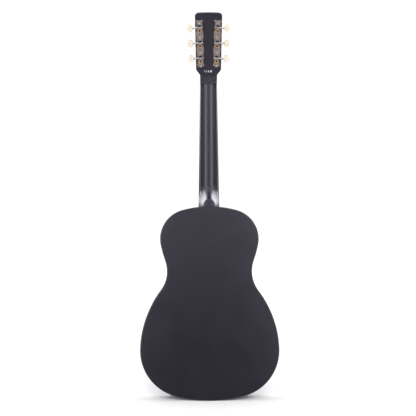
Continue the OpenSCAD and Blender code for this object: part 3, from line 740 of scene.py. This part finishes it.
# ---- Strings ----
POST_R = 2.7
TURNS = 3.25
STRING_H = 7
SADDLE_TOP = 10.4
NUT_TOP = 7
BRIDGE_H = 8
PIN_Y = SADDLE_Y - 14
STRING_HOLE_Y = PIN_Y + 4.3
STRING_GAP = 0.05  # between a string and what it lies on
TURN_STEPS = 28


def across(i, spread):
    return spread * (0.5 - (i - 1) / 5)


def crowned(x, top):
    return top - x * x / (2 * BOARD_R)


def post_start(i):
    """Where the string meets its turns: the inner side of the post."""
    post = JOINTS[f"post_{i}_turn"]
    centre, front = Vector(post["pos_m"]), -Vector(post["axis"]).normalized()
    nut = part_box("nut")
    height = (head_point(0, 0, STRING_H) - centre).dot(front)
    inward = Vector((-1 if centre.x > (nut[0].x + nut[1].x) / 2 else 1, 0, 0))
    return centre + front * height, inward, front


def rounded(path, radius):
    """The path with each corner replaced by a short curve."""
    points = [path[0]]
    for before, corner, after in zip(path, path[1:], path[2:]):
        a = corner + (before - corner).normalized() * min(radius, (before - corner).length / 2)
        b = corner + (after - corner).normalized() * min(radius, (after - corner).length / 2)
        points += [
            (1 - t) ** 2 * a + 2 * t * (1 - t) * corner + t * t * b
            for t in (0, 0.25, 0.5, 0.75, 1)
        ]
    return points + [path[-1]]


def build_strings():
    """Six strings from bridge to post, and the turns that each has round its post."""
    for i, gauge in enumerate(GAUGES, 1):
        look, slot = (STEEL, "steel") if i < 3 else (WOUND, "brass")
        x, r = across(i, SADDLE_SPREAD), gauge / 2
        xn = across(i, NUT_SPREAD)
        centre, inward, front = post_start(i)
        touch = centre + inward * (POST_R + r) * MM
        path = [
            bench(x, STRING_HOLE_Y, -7.5),
            bench(x, STRING_HOLE_Y, BRIDGE_H - 2.6),
            bench(x, STRING_HOLE_Y + 0.5, BRIDGE_H - 1),
            bench(x, STRING_HOLE_Y + 1.6, BRIDGE_H + 0.6),
            bench(x, SADDLE_Y, crowned(x, SADDLE_TOP) + r + STRING_GAP),
            bench(xn, NUT_Y + 0.3, crowned(xn, NUT_TOP) + r + STRING_GAP),
            touch,
        ]
        verts, faces = skin(sweep(rounded(path, 1.5 * MM), r * MM, 12))
        replaced = ["strings"] if i == 1 else []
        make_piece(f"string_{i}", verts, faces, look, "guitar", replaced)
        build_turns(i, gauge, look)


def build_turns(i, gauge, look):
    """The turns of one string, which ride on its post."""
    centre, inward, front = post_start(i)
    up = Vector((0, 0, 1))
    up = (up - front * up.dot(front)).normalized()
    r = (POST_R + gauge / 2) * MM
    path = []
    for k in range(int(TURN_STEPS * TURNS) + 1):
        a = 2 * math.pi * k / TURN_STEPS
        drop = -min(gauge * 1.04, 1.3) * MM * k / TURN_STEPS
        path.append(centre + r * (math.cos(a) * inward + math.sin(a) * up) + drop * front)
    verts, faces = skin(sweep(path, gauge / 2 * MM, 10))
    make_piece(f"string_turns_{i}", verts, faces, look, f"post_{i}")


# ---- Small pale bars on the back of the headstock ----
BARS = [(9.2, 1.0), (4.5, 1.2), (-0.2, 1.7), (-6.2, 3.4)]  # middle and width of each
BAR_H = 5.0
BAR_U = 19.6
BAR_T = 0.15
BAR_LEVELS = [(0.1, 0), (-BAR_T * 0.6, 0), (-BAR_T, 0.12)]  # height on the back, and inset


def build_bars():
    for k, (middle, width) in enumerate(BARS, 1):
        rings = []
        for h, inset in BAR_LEVELS:
            ring = []
            for sx, su in ((1, 1), (-1, 1), (-1, -1), (1, -1)):
                half, tall, r = width / 2 - inset, BAR_H / 2 - inset, min(width / 3, 0.6)
                for j in range(5):
                    a = math.atan2(su, sx) - math.pi / 4 + math.pi / 2 * j / 4
                    ring.append(head_point(
                        middle + sx * (half - r) + r * math.cos(a),
                        BAR_U + su * (tall - r) + r * math.sin(a),
                        h - HEAD_T,
                    ))
            rings.append(ring)
        verts, faces = skin(rings)
        faces = [f[::-1] for f in faces]
        make_piece(f"mark_bar_{k}", verts, faces, PAINT, "guitar")


# ---- Stage ----
CAMERA_AWAY = 3.2
CAMERA_X = 0.0027
CAMERA_YAW = math.radians(0.6)
CAMERA_ROLL = math.radians(0.17)
CAMERA_Z = 0.466
LENS = 112.7
FLOOR_HW = 40
FLOOR_GAP = 0.0002


def build_camera():
    data = bpy.data.cameras.new("camera")
    data.lens, data.sensor_width = LENS, 36
    data.clip_end = 60
    camera = bpy.data.objects.new("camera", data)
    bpy.context.scene.collection.objects.link(camera)
    camera.location = (
        CAMERA_X + CAMERA_AWAY * math.sin(CAMERA_YAW),
        CAMERA_AWAY * math.cos(CAMERA_YAW),
        CAMERA_Z,
    )
    camera.rotation_euler = (math.pi / 2, CAMERA_ROLL, math.pi - CAMERA_YAW)
    bpy.context.scene.camera = camera


def build_floor():
    """A plain pale floor, too big for its edge to show."""
    look = Look("floor", (0.86, 0.86, 0.86), 0.9)
    look.tint(look.noise(0.004), (0.85, 0.85, 0.85), (0.87, 0.87, 0.87))
    mesh = bpy.data.meshes.new("floor")
    r = FLOOR_HW
    mesh.from_pydata([(-r, -r, 0), (r, -r, 0), (r, r, 0), (-r, r, 0)], [], [(0, 1, 2, 3)])
    mesh.materials.append(look.material)
    floor = bpy.data.objects.new("floor", mesh)
    floor.location.z = CAD_BOX[0].z - FLOOR_GAP
    bpy.context.scene.collection.objects.link(floor)
    floor.visible_glossy = False
    return floor


# What glossy surfaces reflect, as soft lights that add up. Each has a level, its brightness
# round the half-turn from behind the camera (0) to beyond the guitar (180 degrees), and its
# brightness from straight down (-90) to straight up (90 degrees).
STUDIO = [
    (
        1.2,
        [(0, 0.95), (32, 1.2), (55, 2.1), (75, 1.6), (100, 0.8), (140, 0.4), (180, 0.5)],
        [
            (-90, 0.7), (-32, 0.86), (-22, 0.78), (-15, 0.1), (-4, 0), (10, 0.66),
            (25, 1), (55, 1.3), (90, 1.3),
        ],
    ),
    (
        6,
        [(0, 0), (9, 0), (16, 0.9), (25, 0.9), (35, 0), (180, 0)],
        [(-90, 0), (-14, 0), (-3, 0.8), (2, 1), (12, 1), (30, 0.1), (90, 0)],
    ),
    (
        6.5,
        [(0, 0), (95, 0), (112, 1), (135, 1), (158, 0), (180, 0)],
        [(-90, 0), (16, 0), (30, 0.4), (40, 1), (50, 1), (66, 0), (90, 0)],
    ),
    (
        3.9,
        [(0, 0), (112, 0), (134, 1), (155, 1), (172, 0.4), (180, 0.3)],
        [(-90, 0), (-1, 0), (7, 0.8), (17, 1), (34, 1), (50, 0), (90, 0)],
    ),
]
STUDIO_TINT = (0.99, 0.96, 1.06, 1)
AMBIENT = 0.14
BACKDROP = 1.05


def build_world():
    """A white backdrop for the camera, a studio for reflections, and a little ambient light."""
    world = bpy.data.worlds.new("studio")
    world.use_nodes = True
    bpy.context.scene.world = world
    tree = world.node_tree
    tree.nodes.clear()
    add, link = tree.nodes.new, tree.links.new

    def arithmetic(operation, *values):
        node = add("ShaderNodeMath")
        node.operation = operation
        for socket, value in zip(node.inputs, values):
            if isinstance(value, (int, float)):
                socket.default_value = value
            else:
                link(value, socket)
        return node.outputs[0]

    def profile(value, stops, lowest, highest):
        node = add("ShaderNodeValToRGB")
        ramp = node.color_ramp
        ramp.interpolation = "EASE"
        while len(ramp.elements) < len(stops):
            ramp.elements.new(0.5)
        for element, (degrees, level) in zip(ramp.elements, stops):
            element.position = (degrees - lowest) / (highest - lowest)
            element.color = (level, level, level, 1)
        link(value, node.inputs[0])
        return node.outputs[0]

    def background(strength, tint=(1, 1, 1, 1)):
        node = add("ShaderNodeBackground")
        node.inputs["Color"].default_value = tint
        if isinstance(strength, (int, float)):
            node.inputs["Strength"].default_value = strength
        else:
            link(strength, node.inputs["Strength"])
        return node.outputs[0]

    def choose(which, without, chosen):
        node = add("ShaderNodeMixShader")
        link(which, node.inputs[0])
        link(without, node.inputs[1])
        link(chosen, node.inputs[2])
        return node.outputs[0]

    direction, split = add("ShaderNodeTexCoord"), add("ShaderNodeSeparateXYZ")
    link(direction.outputs["Generated"], split.inputs[0])
    x, y, z = split.outputs
    turn = arithmetic("DIVIDE", arithmetic("ABSOLUTE", arithmetic("ARCTAN2", x, y)), math.pi)
    rise = arithmetic("ADD", arithmetic("DIVIDE", arithmetic("ARCSINE", z), math.pi), 0.5)
    total = 0.0
    for level, around, upward in STUDIO:
        beam = profile(turn, around, 0, 180), profile(rise, upward, -90, 90)
        light = arithmetic("MULTIPLY", *beam)
        total = arithmetic("MULTIPLY_ADD", light, level, total)
    path, out = add("ShaderNodeLightPath"), add("ShaderNodeOutputWorld")
    studio = background(total, STUDIO_TINT)
    lit = choose(path.outputs["Is Glossy Ray"], background(AMBIENT), studio)
    link(choose(path.outputs["Is Camera Ray"], lit, background(BACKDROP)), out.inputs[0])


# Strength, angular size and tilt of each sun. The second shines from the camera's side.
OVERHEAD = (2.0, math.radians(100), math.radians(10.5))
LOW = (5.8, math.radians(26), math.radians(17 - 90))
FILL_POWER = 46
FILL_SIZE = 2.5
FILL_AT = Vector((0, 3.2, 1.6))
FILL_AIM = Vector((0, 0, 0.5))


def add_sun(name, strength, size, tilt):
    sun = bpy.data.lights.new(name, "SUN")
    sun.energy, sun.angle = strength, size
    light = bpy.data.objects.new(name, sun)
    light.rotation_euler = (tilt, 0, 0)
    return light


def floor_linking(name, floor, state):
    """A light-linking collection that takes in or leaves out the floor."""
    linking = bpy.data.collections.new(name)
    linking.objects.link(floor)
    linking.collection_objects[0].light_linking.link_state = state
    return linking


def build_lights(floor):
    """A wide soft sun from above and a low one that lights only the floor, from the
    camera's side, and a big soft fill light there that leaves the floor to the suns."""
    overhead, low = add_sun("overhead", *OVERHEAD), add_sun("low", *LOW)
    low.light_linking.receiver_collection = floor_linking("only_floor", floor, "INCLUDE")
    panel = bpy.data.lights.new("fill", "AREA")
    panel.energy, panel.size = FILL_POWER, FILL_SIZE
    fill = bpy.data.objects.new("fill", panel)
    fill.location = FILL_AT
    fill.rotation_euler = (FILL_AIM - FILL_AT).to_track_quat("-Z", "Y").to_euler()
    fill.light_linking.receiver_collection = floor_linking("not_filled", floor, "EXCLUDE")
    for light in (overhead, low, fill):
        light.visible_glossy = False
        bpy.context.scene.collection.objects.link(light)


def faces_in(face):
    """Whether a face of a bent side looks in, at the middle of the body."""
    from_middle = Vector((face.center.x, face.center.z - STAR.y * MM))
    return from_middle.dot(Vector((face.normal.x, face.normal.z))) < -1e-4


# ---- The scene ----
build_camera()
dress_cad()
bare_inside("soundboard", SPRUCE, lambda face: face.normal.y > 0.9)
for panel in ("side_bass", "side_treble"):
    bare_inside(panel, MAHOGANY, faces_in)
build_back()
build_neck()
build_heel_cap()
build_buttons()
build_strings()
build_bars()
build_world()
build_lights(build_floor())
bpy.context.scene.view_settings.view_transform = "Standard"
